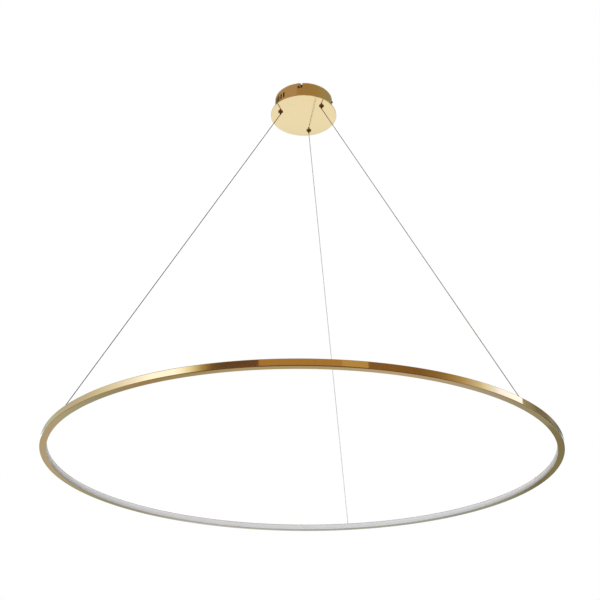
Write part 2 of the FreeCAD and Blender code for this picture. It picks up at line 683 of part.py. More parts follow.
def splice_screws():
    """Grub screws that press each bar and its wall apart."""
    middle = (BAR_INNER + BAR_OUTER) / 2
    grubs = []
    for seam in SEAMS:
        for offset in GRUB_OFFSETS:
            for low in (RING_Z + PROFILE_WALL, RING_TOP - PROFILE_WALL - GRUB_L):
                grubs.append(cylinder(GRUB_R, low, low + GRUB_L).translated(polar(middle, seam + offset)))
    return Part.Compound(grubs)


ANCHOR_H = 6.0
ANCHOR_BODY_R = 2.0
ANCHOR_LIP_R = 2.7
ANCHOR_TOP = RING_TOP - PROFILE_WALL - BUSH_T


def anchor_bush():
    """Nylon bush in the ring's top wall: it ends flush with the top and insulates the wire."""
    wall_low = RING_TOP - PROFILE_WALL
    neck = ANCHOR_HOLE_R - GAP
    bore = WIRE_R + GAP
    outline = [(bore, ANCHOR_TOP), (ANCHOR_LIP_R, ANCHOR_TOP), (ANCHOR_LIP_R, wall_low), (neck, wall_low),
               (neck, RING_TOP), (bore, RING_TOP)]
    return turned(outline)


def wire_anchor():
    return tube(WIRE_R + PLAY, ANCHOR_BODY_R, ANCHOR_TOP - ANCHOR_H, ANCHOR_TOP)


def wire_end():
    return cylinder(WIRE_R, ANCHOR_TOP - ANCHOR_H, RING_TOP)


FEED_R = 0.6
FEED_TURN = 1.0              # degrees from an anchor to where its lead meets the strip
FEED_END = 1.9


def feed_leads():
    """From the two live anchors down and outwards to the solder pads of the LED strip."""
    pad_z = RING_MID - PAD_OFFSET
    on_strip = STRIP_R - FEED_R - PLAY
    leads = []
    for azimuth in GRIP_AZIMUTHS[1:]:
        start = polar(ANCHOR_R, azimuth, ANCHOR_TOP - ANCHOR_H)
        points = [start, polar(ANCHOR_R, azimuth, pad_z), polar(on_strip, azimuth + FEED_TURN, pad_z),
                  polar(on_strip, azimuth + FEED_END, pad_z)]
        leads.append(lead(points, FEED_R))
    return Part.Compound(leads)


def seam_jumpers():
    """Two short leads over each seam join the strips of the two halves."""
    radius = STRIP_R - FEED_R - PLAY
    leads = []
    for seam in SEAMS:
        for z in (RING_MID - PAD_OFFSET, RING_MID + PAD_OFFSET):
            leads.append(ring_sector(radius - FEED_R, radius + FEED_R, z - FEED_R, z + FEED_R,
                                     seam - JUMPER_SPAN, seam + JUMPER_SPAN))
    return Part.Compound(leads)


# --- every sub-part ---------------------------------------------------------------------------
def group(solids):
    return Part.Compound(solids)


def sub_parts():
    parts = {
        "ceiling_plate": ceiling_plate(), "side_screws": side_screws(), "earth_screw": earth_screw(),
        "cable_grommet": cable_grommet(), "canopy_drum": canopy_drum(), "canopy_disc": canopy_disc(),
        "gripper_plugs": group(at_grippers(gripper_plug())), "lock_nuts": group(at_grippers(lock_nut())),
        "shoulder_bushes": group(at_grippers(shoulder_bush())),
        "insulating_washers": group(at_grippers(insulating_washer())),
        "wire_tails": group(at_grippers(cylinder(WIRE_R, MOUTH_Z, STOP_TOP))),
        "wire_end_stops": group(at_grippers(end_stop())),
        "driver_case": driver_case(), "driver_cover": driver_cover(), "driver_board": driver_board(),
        "driver_components": driver_components(), "driver_screws": driver_screws(),
        "terminal_block": terminal_block(), "terminal_screws": terminal_screws(),
        "mains_leads": mains_leads(), "output_leads": output_leads(),
        "led_chips": led_chips(), "splice_bars": splice_bars(), "splice_screws": splice_screws(),
        "anchor_bushes": group(at_grippers(anchor_bush(), ANCHOR_R)),
        "wire_anchors": group(at_grippers(wire_anchor(), ANCHOR_R)),
        "wire_ends": group(at_grippers(wire_end(), ANCHOR_R)),
        "feed_leads": feed_leads(), "seam_jumpers": seam_jumpers(),
    }
    barrels = at_grippers(gripper_barrel())
    springs = at_grippers(gripper_spring())
    nozzles = at_grippers(release_nozzle())
    balls = at_grippers(Part.Compound(clamping_balls()))
    for k, azimuth in enumerate(GRIP_AZIMUTHS):
        number = str(k + 1)
        parts["gripper_barrel_" + number] = barrels[k]
        parts["gripper_spring_" + number] = springs[k]
        parts["release_nozzle_" + number] = nozzles[k]
        parts["clamping_balls_" + number] = balls[k]
        parts["suspension_wire_" + number] = suspension_wire(azimuth)
    for half in HALVES:
        parts["ring_profile_" + half] = ring_profile(half)
        parts["diffuser_" + half] = diffuser(half)
        parts["led_strip_" + half] = led_strip(half)
    return parts


def main():
    os.makedirs("parts", exist_ok=True)
    for name, shape in sub_parts().items():
        if not shape.isValid() or not shape.Solids:
            raise ValueError(name + " is not a valid solid")
        shape.exportStep("parts/" + name + ".step")
        print("%-22s %3d solids %12.1f mm3" % (name, len(shape.Solids), shape.Volume))


main()
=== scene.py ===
# %% [markdown]
# # A ring of light on three wires
#
# The lamp is a thin gold-coloured ring, 1.2 m across, that hangs level from a small round canopy.
# A light strip hides in the ring behind a milky diffuser, which faces the middle of the ring.
# The CAD model gives every size and every place, so we load it first as a fixed frame. All lengths
# are in metres, and the origin is on the ceiling, in the middle of the canopy.

# %% Load the measured frame
import math

import bmesh
import bpy
from mathutils import Matrix, Vector


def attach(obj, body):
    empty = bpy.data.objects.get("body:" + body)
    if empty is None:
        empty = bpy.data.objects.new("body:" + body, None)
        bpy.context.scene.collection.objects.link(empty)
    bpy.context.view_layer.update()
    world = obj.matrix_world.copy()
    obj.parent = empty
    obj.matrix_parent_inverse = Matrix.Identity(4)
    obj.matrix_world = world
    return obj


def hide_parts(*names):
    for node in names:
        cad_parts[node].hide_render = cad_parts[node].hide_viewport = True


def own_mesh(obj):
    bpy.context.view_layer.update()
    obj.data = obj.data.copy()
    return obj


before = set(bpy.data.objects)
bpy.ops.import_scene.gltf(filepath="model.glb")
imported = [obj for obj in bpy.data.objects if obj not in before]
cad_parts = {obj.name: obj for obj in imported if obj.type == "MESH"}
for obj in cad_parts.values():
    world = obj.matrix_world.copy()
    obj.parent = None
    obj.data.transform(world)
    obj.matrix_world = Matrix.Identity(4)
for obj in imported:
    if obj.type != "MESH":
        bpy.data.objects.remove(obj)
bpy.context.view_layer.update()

MM = 0.001

# %% [markdown]
# ## The camera
#
# The photographer stood 2.2 m in front of the lamp's middle, with the camera 0.7 m below the ring,
# and looked up by 27 degrees. A camera has a place, a direction and a lens. We work out its three
# axes from the direction and write them into one matrix, because turning it by three Euler angles
# makes small errors hard to correct.

# %% Camera
PHOTO_PIXELS = 600
FOCAL_PIXELS = 990.97
SENSOR_MM = 36.0
CAMERA_PLACE = Vector((0.0, -2.24641, -1.78656))
CAMERA_PITCH = 0.4739
CAMERA_YAW = -0.0030
CAMERA_ROLL = 0.0066


def camera_axes(yaw, pitch, roll):
    """The camera's right, up and backward directions."""
    ahead = Vector((math.sin(yaw) * math.cos(pitch), math.cos(yaw) * math.cos(pitch), math.sin(pitch)))
    right = Vector((math.cos(yaw), -math.sin(yaw), 0.0))
    up = right.cross(ahead)
    turned_right = math.cos(roll) * right + math.sin(roll) * up
    turned_up = math.cos(roll) * up - math.sin(roll) * right
    return turned_right, turned_up, -ahead


lens = bpy.data.cameras.new("camera")
lens.sensor_width = SENSOR_MM
lens.lens = FOCAL_PIXELS * SENSOR_MM / PHOTO_PIXELS
camera = bpy.data.objects.new("camera", lens)
bpy.context.collection.objects.link(camera)
placement = Matrix(camera_axes(CAMERA_YAW, CAMERA_PITCH, CAMERA_ROLL)).transposed().to_4x4()
placement.translation = CAMERA_PLACE
camera.matrix_world = placement
bpy.context.scene.camera = camera
bpy.context.scene.view_settings.view_transform = "Standard"
print("lens, mm:", round(lens.lens, 2))

# %% [markdown]
# ## Two helpers for every node tree
#
# Materials and Geometry Nodes are both made of nodes. One function adds any node: its own options
# are keyword arguments, and a dictionary gives its inputs, either a plain value or the output of
# another node to link. Colours are written as the hex values that a paint chart would give, and
# turned to the linear values that the renderer counts in.

# %% Node and colour helpers


def add(tree, kind, inputs=None, **options):
    """Adds a node, sets its options and its inputs, and gives the node back."""
    node = tree.nodes.new(kind)
    for name, value in options.items():
        setattr(node, name, value)
    for name, value in (inputs or {}).items():
        if isinstance(value, bpy.types.NodeSocket):
            tree.links.new(value, node.inputs[name])
        else:
            node.inputs[name].default_value = value
    return node


def linear(hex_colour):
    """A paint chart's sRGB hex value as linear red, green, blue and alpha."""
    parts = [int(hex_colour[i:i + 2], 16) / 255 for i in (1, 3, 5)]
    return [c / 12.92 if c <= 0.04045 else ((c + 0.055) / 1.055) ** 2.4 for c in parts] + [1.0]


# %% [markdown]
# ## Starting a material
#
# Every finish here has the same skeleton: a Principled shader whose colour, roughness and bump
# follow one grey pattern. What differs is the pattern, and each is worked out from the real
# surface. `new_finish` makes the shader and gives back the coordinates of the piece, and
# `dress` joins a finished pattern to the shader.

# %% Finish helpers


def new_finish(name, **settings):
    """A material with one Principled shader. Returns it, its tree, the shader and the coordinates."""
    finish = bpy.data.materials.new(name)
    finish.use_nodes = True
    tree = finish.node_tree
    tree.nodes.clear()
    shader = add(tree, "ShaderNodeBsdfPrincipled", {key.replace("_", " "): v for key, v in settings.items()})
    add(tree, "ShaderNodeOutputMaterial", {"Surface": shader.outputs["BSDF"]})
    place = add(tree, "ShaderNodeTexCoord").outputs["Object"]
    return finish, tree, shader, place


def dress(tree, shader, pattern, colours, roughness, bump_mm):
    """Lets a 0 to 1 pattern move the colour between two hex values, the roughness, and the height."""
    dark, light = (linear(c) for c in colours)
    mix = add(tree, "ShaderNodeMix", {"Factor": pattern, "A": dark, "B": light}, data_type="RGBA")
    tree.links.new(mix.outputs[2], shader.inputs["Base Color"])
    rough = add(tree, "ShaderNodeMapRange",
                {"Value": pattern, "To Min": roughness[0], "To Max": roughness[1]})
    tree.links.new(rough.outputs["Result"], shader.inputs["Roughness"])
    bump = add(tree, "ShaderNodeBump", {"Height": pattern, "Strength": 1.0, "Distance": bump_mm * MM})
    tree.links.new(bump.outputs["Normal"], shader.inputs["Normal"])


def streaks(tree, vector, size_mm, stretch=(1.0, 1.0, 1.0), detail=3.0):
    """Noise with cells size_mm across, drawn out by a factor along each axis, as a 0 to 1 value."""
    scale = [1.0 / factor for factor in stretch]
    placed = add(tree, "ShaderNodeMapping", {"Vector": vector, "Scale": scale})
    noise = add(tree, "ShaderNodeTexNoise",
                {"Vector": placed.outputs["Vector"], "Scale": 1.0 / (size_mm * MM), "Detail": detail})
    return noise.outputs["Fac"]


# %% [markdown]
# ## Around the ring instead of across it
#
# Rolled profile, spun discs and turned collars all carry marks that run round an axis. `around`
# turns a piece's coordinates into three lengths: the way round at a given radius, the distance
# from the axis, and the height. A streak drawn out along the first of them then follows the ring.

# %% Coordinates that follow a circle


def around(tree, place, radius, centre=(0.0, 0.0)):
    """Coordinates round a vertical axis: length along the circle, distance from the axis, height."""
    moved = add(tree, "ShaderNodeVectorMath", {0: place, 1: (*centre, 0.0)}, operation="SUBTRACT")
    split = add(tree, "ShaderNodeSeparateXYZ", {"Vector": moved.outputs["Vector"]})
    x, y, z = (split.outputs[axis] for axis in "XYZ")
    angle = add(tree, "ShaderNodeMath", {0: y, 1: x}, operation="ARCTAN2").outputs[0]
    way = add(tree, "ShaderNodeMath", {0: angle, 1: radius}, operation="MULTIPLY").outputs[0]
    flat = add(tree, "ShaderNodeCombineXYZ", {"X": x, "Y": y}).outputs["Vector"]
    reach = add(tree, "ShaderNodeVectorMath", {0: flat}, operation="LENGTH").outputs["Value"]
    return add(tree, "ShaderNodeCombineXYZ", {"X": way, "Y": reach, "Z": z}).outputs["Vector"]


# %% [markdown]
# ## Gold-coloured metals
#
# Nothing here is gold. The ring is an aluminium extrusion, rolled into a circle, polished along
# its length and coated a champagne gold: the eye gets long mirror streaks that run round it. The
# canopy is drawn and stamped steel with the same kind of coating, buffed to a mirror, with a
# faint haze from the buffing wheel. The grippers are turned brass, browned by their lacquer, and
# show the fine rings of the lathe. All three are metallic, so they keep the default IOR.

# %% Ring: rolled and polished aluminium profile
RING_RADIUS = 0.600
ring_gold, tree, shader, place = new_finish("rolled_aluminium_champagne_coat", Metallic=1.0)
# Polishing lines are 0.05 mm wide and too fine to show; they are drawn 1.6 mm wide and 90 times as long.
lines = streaks(tree, around(tree, place, RING_RADIUS), 1.6, stretch=(90.0, 1.0, 1.0))
dress(tree, shader, lines, ("#b59d78", "#bfaa88"), (0.04, 0.075), 0.001)

# %% Canopy: steel buffed to a mirror under a gold coat
DRUM_INSIDE = 0.0802
BUFFING_RADIUS = 0.08


def buffed_steel(name):
    """A mirror with faint buffing haze. Returns it, its tree, its shader and lengths round the axis."""
    finish, tree, shader, place = new_finish(name, Metallic=1.0)
    lengths = around(tree, place, BUFFING_RADIUS)
    haze = streaks(tree, lengths, 3.0, stretch=(12.0, 1.0, 1.0))
    dress(tree, shader, haze, ("#ead6a8", "#f0dcae"), (0.05, 0.12), 0.0004)
    return finish, tree, shader, lengths


disc_gold, tree, shader, lengths = buffed_steel("buffed_steel_gold_coat")
# The drum has the same coat outside only. Its inside is dull, as bare steel is, and painted near-black:
# painted shade for the dark inside of a canopy that sits against a ceiling.
drum_gold, tree, shader, lengths = buffed_steel("buffed_steel_shaded_inside")
# Dull steel painted near-black for the drum's inside: painted shade where the ceiling keeps light out.
painted_shade_inside = add(tree, "ShaderNodeBsdfPrincipled", {"IOR": 1.6})
dress(tree, painted_shade_inside, streaks(tree, lengths, 0.8), ("#12110f", "#1d1b18"), (0.75, 0.9), 0.004)
reach = add(tree, "ShaderNodeSeparateXYZ", {"Vector": lengths}).outputs["Y"]
inside = add(tree, "ShaderNodeMath", {0: reach, 1: DRUM_INSIDE}, operation="LESS_THAN").outputs[0]
sides = add(tree, "ShaderNodeMixShader", {0: inside, 1: shader.outputs[0], 2: painted_shade_inside.outputs[0]})
tree.links.new(sides.outputs[0], tree.nodes["Material Output"].inputs["Surface"])

# %% Grippers and side screws: turned brass with a brown lacquer
GRIPPER_AZIMUTHS = (-73.0, 47.0, 167.0)
GRIPPER_CIRCLE = 0.0675
TURNED_RADIUS = 0.005


def polar(radius, azimuth, height=0.0):
    """A point by its distance from the middle, its azimuth from the camera's side, and its height."""
    angle = math.radians(azimuth)
    return Vector((radius * math.sin(angle), -radius * math.cos(angle), height))


def turned_brass(name, centre):
    """Lathe rings about a vertical axis at centre: 0.1 mm feed marks, drawn 0.3 mm apart."""
    finish, tree, shader, place = new_finish(name, Metallic=1.0)
    lengths = around(tree, place, TURNED_RADIUS, centre)
    rings = streaks(tree, lengths, 0.3, stretch=(30.0, 1.0, 1.0), detail=1.0)
    dress(tree, shader, rings, ("#6f4d22", "#86622f"), (0.20, 0.30), 0.003)
    return finish


gripper_brass = [turned_brass(f"turned_brass_brown_lacquer_{k + 1}", polar(GRIPPER_CIRCLE, azimuth)[:2])
                 for k, azimuth in enumerate(GRIPPER_AZIMUTHS)]
screw_brass = turned_brass("plated_steel_screws", (0.0, 0.0))
print("gold finishes:", ring_gold.name, disc_gold.name, drum_gold.name, *[b.name for b in gripper_brass])

# %% [markdown]
# ## The milky diffuser
#
# The diffuser is extruded opal acrylic. Light enters it and spreads, so it looks soft and nearly white, and
# its satin skin has only a broad, weak sheen. Its colour is painted greyer towards its lower edge and
# lighter towards its upper edge: painted shade for room light that falls from above. Where it is seen along
# the strip, that painted shading grows and its upper edge is painted white, a painted sheen: a facing value
# from Layer Weight picks between a weak and a strong one. Very long low waves are what the extruder's die
# leaves.

# %% Opal acrylic
# The heights of its lower and its upper edge.
DIFFUSER_LOW = -1.0742
DIFFUSER_HIGH = -1.0618
opal, tree, shader, place = new_finish("extruded_opal_acrylic", IOR=1.49)
die_lines = streaks(tree, around(tree, place, RING_RADIUS), 2.5, stretch=(60.0, 1.0, 1.0))
dress(tree, shader, die_lines, ("#f0f0f2", "#f6f6f7"), (0.42, 0.52), 0.002)
height = add(tree, "ShaderNodeSeparateXYZ", {"Vector": place}).outputs["Z"]
rise = add(tree, "ShaderNodeMapRange",
           {"Value": height, "From Min": DIFFUSER_LOW, "From Max": DIFFUSER_HIGH}).outputs[0]
grazing = add(tree, "ShaderNodeLayerWeight", {"Blend": 0.5}).outputs["Facing"]
# Painted shade and sheen: each pair runs from a greyer lower edge to a lighter upper edge, and the pair for
# a look along the strip is painted white at the top.
painted_shades = []
for low_shade, high_shade in (("#dcdcdd", "#e9e9ea"), ("#b2b0b6", "#ffffff")):
    shade = add(tree, "ShaderNodeMix", {"Factor": rise, "A": linear(low_shade), "B": linear(high_shade)},
                data_type="RGBA")
    painted_shades.append(shade.outputs[2])
along = add(tree, "ShaderNodeMapRange", {"Value": grazing, "From Min": 0.05, "From Max": 0.6}).outputs[0]
painted_shading = add(tree, "ShaderNodeMix", {"Factor": along, "A": painted_shades[0], "B": painted_shades[1]}, data_type="RGBA")
plain = shader.inputs["Base Color"].links[0].from_socket
shaded_colour = add(tree, "ShaderNodeMix", {"Factor": 1.0, "A": painted_shading.outputs[2], "B": plain},
           data_type="RGBA", blend_type="MULTIPLY")
tree.links.new(shaded_colour.outputs[2], shader.inputs["Base Color"])

# %% [markdown]
# ## Plain working metals and plastics
#
# The rest is seen through the vents, over the plate's edge or from above. The plate is zinc
# plated, which dries in cloudy patches. Springs and balls are bright drawn steel. Nylon is
# slightly waxy, rubber is dull, and the driver's case is moulded in a spark-eroded mould, which
# leaves a fine even grain.

# %% Zinc, spring steel and brass
zinc, tree, shader, place = new_finish("zinc_plated_steel", Metallic=1.0)
clouds = add(tree, "ShaderNodeTexVoronoi", {"Vector": place, "Scale": 1.0 / (7.0 * MM)}).outputs["Distance"]
dress(tree, shader, clouds, ("#9ea2a6", "#c3c6c8"), (0.28, 0.45), 0.01)

spring_steel, tree, shader, place = new_finish("drawn_spring_steel", Metallic=1.0)
dress(tree, shader, streaks(tree, place, 0.4), ("#8d9093", "#a9acae"), (0.15, 0.28), 0.002)

bare_brass, tree, shader, place = new_finish("machined_brass", Metallic=1.0)
facing_marks = streaks(tree, place, 0.5, stretch=(6.0, 6.0, 1.0))
dress(tree, shader, facing_marks, ("#b8964f", "#cbab66"), (0.2, 0.35), 0.003)

# %% Nylon, rubber and moulded plastic
nylon, tree, shader, place = new_finish("natural_nylon", IOR=1.53, Subsurface_Weight=0.2,
                                        Subsurface_Scale=1.0 * MM)
dress(tree, shader, streaks(tree, place, 1.2), ("#dedbcd", "#e9e6da"), (0.35, 0.5), 0.01)

rubber, tree, shader, place = new_finish("moulded_rubber", IOR=1.52)
dress(tree, shader, streaks(tree, place, 0.6), ("#161616", "#242423"), (0.65, 0.85), 0.02)

case_plastic, tree, shader, place = new_finish("moulded_polycarbonate", IOR=1.58)
dress(tree, shader, streaks(tree, place, 0.5, detail=1.0), ("#cfcfcb", "#dcdcd8"), (0.5, 0.62), 0.02)

# %% [markdown]
# ## Boards, parts and leads
#
# The light strip is a flexible board under white solder mask, the driver's own board is green,
# and its parts are dark epoxy and tape. The mains leads are brown and blue, one above the other,
# and the low-voltage leads are red and black, one beside the other. Both pairs are one piece
# each, so the colour is picked by the lead's height or side.

# %% Boards and components
strip_white, tree, shader, place = new_finish("white_solder_mask", IOR=1.55)
dress(tree, shader, streaks(tree, place, 2.0), ("#dcdcd4", "#ebebe4"), (0.3, 0.42), 0.01)

board_green, tree, shader, place = new_finish("green_solder_mask", IOR=1.55)
tracks = add(tree, "ShaderNodeTexBrick", {"Vector": place, "Scale": 1.0 / (9.0 * MM), "Mortar Size": 0.03})
dress(tree, shader, tracks.outputs["Fac"], ("#1f5a38", "#2f7a4c"), (0.25, 0.35), 0.03)

epoxy, tree, shader, place = new_finish("dark_epoxy_and_tape", IOR=1.5)
dress(tree, shader, streaks(tree, place, 3.0), ("#20211f", "#3a3a33"), (0.4, 0.6), 0.02)

# The chips' phosphor is a soft yellow gel in a white frame.
phosphor, tree, shader, place = new_finish("phosphor_gel", IOR=1.41)
dress(tree, shader, streaks(tree, place, 0.8), ("#e3c95c", "#eed87a"), (0.35, 0.5), 0.01)

# %% Leads in two colours
# How much of the pattern is grain; the rest tells one lead from the other.
GRAIN_SHARE = 0.08
MAINS_BORDER = -40.7 * MM
OUTPUT_BORDER = 3.0 * MM


def two_colours(name, axis, border, below, above):
    """Insulation that changes colour where the piece's coordinate on an axis passes the border."""
    finish, tree, shader, place = new_finish(name, IOR=1.53)
    split = add(tree, "ShaderNodeSeparateXYZ", {"Vector": place})
    side = add(tree, "ShaderNodeMath", {0: split.outputs[axis], 1: border}, operation="GREATER_THAN")
    grain = streaks(tree, place, 0.8)
    pattern = add(tree, "ShaderNodeMath", {0: side.outputs[0], 1: 1 - GRAIN_SHARE}, operation="MULTIPLY")
    mottled = add(tree, "ShaderNodeMath", {0: grain, 1: GRAIN_SHARE, 2: pattern.outputs[0]},
                  operation="MULTIPLY_ADD")
    dress(tree, shader, mottled.outputs[0], (below, above), (0.35, 0.4), 0.0)
    return finish


mains_pair = two_colours("brown_and_blue_insulation", "Z", MAINS_BORDER, "#5a3420", "#2f5e9e")
output_pair = two_colours("red_and_black_insulation", "Y", OUTPUT_BORDER, "#a3261c", "#1b1b1b")
print("materials so far:", len(bpy.data.materials))

# %% [markdown]
# ## Painting the CAD pieces
#
# Where the CAD solid already has the right shape it stays, and only gets its finish. A CAD
# object's mesh and place are never touched.

# %% Paint


def paint(finish, *names):
    """Gives CAD nodes a finish."""
    for name in names:
        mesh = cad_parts[name].data
        mesh.materials.clear()
        mesh.materials.append(finish)


paint(drum_gold, "canopy_drum")
paint(disc_gold, "canopy_disc")
for number, brass in enumerate(gripper_brass, start=1):
    paint(brass, f"gripper_barrel_{number}", f"release_nozzle_{number}")
    paint(spring_steel, f"clamping_balls_{number}")
paint(screw_brass, "side_screws")
paint(zinc, "ceiling_plate", "earth_screw", "lock_nuts", "splice_bars", "splice_screws", "driver_screws",
      "terminal_screws")
paint(bare_brass, "gripper_plugs", "wire_end_stops", "wire_anchors")
paint(nylon, "shoulder_bushes", "insulating_washers", "anchor_bushes")
paint(rubber, "cable_grommet")
paint(case_plastic, "driver_case", "driver_cover", "terminal_block")
paint(strip_white, "led_strip_a", "led_strip_b")
paint(board_green, "driver_board")
paint(epoxy, "driver_components")
paint(phosphor, "led_chips")
paint(mains_pair, "mains_leads")
paint(output_pair, "output_leads", "feed_leads", "seam_jumpers")

# %% [markdown]
# ## The wires
#
# Each suspension wire is a steel rope of six strands round a core, 2 mm thick over its clear
# sleeve, and hangs dead straight because the ring pulls on it. Its route needs four points: both
# ends, and one point 9 mm from each end where the straight stretch begins. A NURBS line of order
# 3 follows them. The rope itself is a six-lobed section that turns once every 12 mm as it
# travels along the line. Bending a round tube would be simpler, but a rope's lay is what catches
# the light along a real wire.

# %% Route of a wire
NOZZLE_MOUTH = -0.0619
RING_TOP = -1.0605
RING_ENTRY = 0.5935
NEAR_END = 0.009
LINE_RESOLUTION = 1000


def wire_route(azimuth):
    """The four points of one wire, from the gripper's mouth to the ring's top."""
    start = polar(GRIPPER_CIRCLE, azimuth, NOZZLE_MOUTH)
    end = polar(RING_ENTRY, azimuth, RING_TOP)
    along = (end - start).normalized()
    return start, start + NEAR_END * along, end - NEAR_END * along, end


def centreline(route):
    """The points that Blender gives for a NURBS line through a route."""
    curve = bpy.data.curves.new("route", "CURVE")
    curve.dimensions = "3D"
    spline = curve.splines.new("NURBS")
    spline.points.add(len(route) - 1)
    for control, point in zip(spline.points, route):
        control.co = (*point, 1.0)
    spline.order_u = 3
    spline.use_endpoint_u = True
    spline.resolution_u = LINE_RESOLUTION
    holder = bpy.data.objects.new("route", curve)
    bpy.context.collection.objects.link(holder)
    line = bpy.data.meshes.new_from_object(holder.evaluated_get(bpy.context.evaluated_depsgraph_get()))
    points = [vertex.co.copy() for vertex in line.vertices]
    bpy.data.objects.remove(holder)
    return points


# %% Rope section and lay
ROPE_LAY = 0.012
ROPE_STEP = 0.001
STRANDS = 6
# The radius of the rope at four places of one strand: its crown, its flanks, and the groove beside it.
STRAND_RADII = (1.0 * MM, 0.96 * MM, 0.85 * MM, 0.96 * MM)


def rope_section(turn):
    """The outline of the rope, six crowns and six grooves, turned by an angle."""
    corners = STRANDS * len(STRAND_RADII)
    return [(STRAND_RADII[i % len(STRAND_RADII)], turn + math.tau * i / corners) for i in range(corners)]


def thinned(points, step):
    """The line's own points, at least a step apart, with both ends kept."""
    kept = [points[0]]
    for point in points[1:-1]:
        if (point - kept[-1]).length >= step and (points[-1] - point).length >= step:
            kept.append(point)
    return kept + [points[-1]]


def tube(name, stations):
    """A closed tube. Each station is a centre, two directions across, and each corner's radius and angle."""
    shape = bmesh.new()
    rings = [[shape.verts.new(centre + radius * (math.cos(angle) * across + math.sin(angle) * third))
              for radius, angle in corners] for centre, across, third, corners in stations]
    for lower, upper in zip(rings, rings[1:]):
        for i in range(len(lower)):
            shape.faces.new((lower[i - 1], lower[i], upper[i], upper[i - 1])).smooth = True
    shape.faces.new(reversed(rings[0]))
    shape.faces.new(rings[-1])
    mesh = bpy.data.meshes.new(name)
    shape.to_mesh(mesh)
    shape.free()
    piece = bpy.data.objects.new(name, mesh)
    bpy.context.collection.objects.link(piece)
    return piece


def report(piece):
    """Prints a piece's faces, its open edges, and its volume, which is positive if its faces look out."""
    shape = bmesh.new()
    shape.from_mesh(piece.data)
    loose = sum(not edge.is_manifold for edge in shape.edges)
    volume = round(shape.calc_volume(signed=True) * 1e6, 2)
    print(piece.name, "faces", len(shape.faces), "open edges", loose, "cm3", volume)
    shape.free()


def rope(name, route):
    """A twisted rope along a route, as a closed mesh, and the centres of its rings."""
    centres = thinned(centreline(route), ROPE_STEP)
    along = (route[-1] - route[0]).normalized()
    across = along.orthogonal().normalized()
    third = along.cross(across)
    stations = []
    travelled = 0.0
    for i, centre in enumerate(centres):
        travelled += (centre - centres[i - 1]).length if i else 0.0
        stations.append((centre, across, third, rope_section(math.tau * travelled / ROPE_LAY)))
    return tube(name, stations), centres


# %% [markdown]
# The rope's finish is stainless steel, rather dull. Its colour is painted darker at its upper end, by the
# canopy, and paler on the way down to the ring: painted shade. The left wire is painted nearly black and the
# rear wire the palest, so each wire is a lit or shaded copy of one steel, with its own painted shade and its
# own share of metal. The rope's grooves are geometry, so the pattern only has to mottle it.

# %% Hang the wires
# For each wire: its share of bare steel, its sheen, and its painted shades at the gripper and at the ring.
ROPE_PAINTED_SHADES = ((0.0, 0.15, "#020202", "#3c3c3f"), (1.0, 0.5, "#707176", "#bcbdc0"),
               (0.4, 0.29, "#b0b1b4", "#fdfdfd"))
rope_steel = []
for number, (steel_share, sheen, *painted_shades) in enumerate(ROPE_PAINTED_SHADES, start=1):
    finish, tree, shader, place = new_finish(f"stainless_rope_{number}", Metallic=steel_share,
                                             Specular_IOR_Level=sheen)
    mottling = streaks(tree, place, 0.5, stretch=(1.0, 1.0, 4.0))
    level = add(tree, "ShaderNodeSeparateXYZ", {"Vector": place}).outputs["Z"]
    # Painted shade: darker towards the canopy, paler towards the ring.
    painted_shade_fade = add(tree, "ShaderNodeMapRange",
                  {"Value": level, "From Min": NOZZLE_MOUTH, "From Max": RING_TOP,
                   "To Min": -0.1, "To Max": 0.7})
    blend = add(tree, "ShaderNodeMath", {0: mottling, 1: 0.3, 2: painted_shade_fade.outputs["Result"]},
                operation="MULTIPLY_ADD", use_clamp=True)
    dress(tree, shader, blend.outputs[0], painted_shades, (0.45, 0.6), 0.0)
    rope_steel.append(finish)
paint(rope_steel[1], "wire_tails", "wire_ends")

# The ring rises by half a metre at most, and the wires are drawn up into the canopy as it does.
for number, (azimuth, finish) in enumerate(zip(GRIPPER_AZIMUTHS, rope_steel), start=1):
    route = wire_route(azimuth)
    wire, centres = rope(f"wire_{number}", route)
    wire.data.materials.append(finish)
    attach(wire, "canopy")
    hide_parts(f"suspension_wire_{number}")
    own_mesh(wire)
    report(wire)

# %% [markdown]
# ## The springs in the grippers
#
# A small compression spring in each gripper presses the balls down. It is wound from 0.5 mm wire and hides
# in the barrel. Pressing the nozzle 2 mm up shortens it. It is drawn here again as a piece of its own, in
# place of the CAD spring.

# %% Wind the springs
SPRING_RADIUS = 1.9 * MM
SPRING_WIRE = 0.25 * MM
SPRING_PITCH = 1.15 * MM
SPRING_LOW = -47.46 * MM
SPRING_HIGH = -39.30 * MM
COIL_STEPS = 32
SPRING_WIRE_SIDES = 10


def spring(name, middle):
    """A helix of round wire about a vertical axis."""
    circle = [(SPRING_WIRE, math.tau * k / SPRING_WIRE_SIDES) for k in range(SPRING_WIRE_SIDES)]
    stations = []
    for step in range(round(COIL_STEPS * (SPRING_HIGH - SPRING_LOW) / SPRING_PITCH) + 1):
        angle = math.tau * step / COIL_STEPS
        outward = Vector((math.cos(angle), math.sin(angle), 0.0))
        lift = SPRING_LOW + SPRING_PITCH * step / COIL_STEPS
        along = Vector((-outward.y, outward.x, SPRING_PITCH / math.tau / SPRING_RADIUS)).normalized()
        centre = middle + SPRING_RADIUS * outward + Vector((0.0, 0.0, lift))
        stations.append((centre, outward, along.cross(outward), circle))
    return tube(name, stations)


for number, azimuth in enumerate(GRIPPER_AZIMUTHS, start=1):
    coil = spring(f"spring_{number}", polar(GRIPPER_CIRCLE, azimuth))
    coil.data.materials.append(spring_steel)
    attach(coil, "canopy")
    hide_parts(f"gripper_spring_{number}")
    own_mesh(coil)
    report(coil)

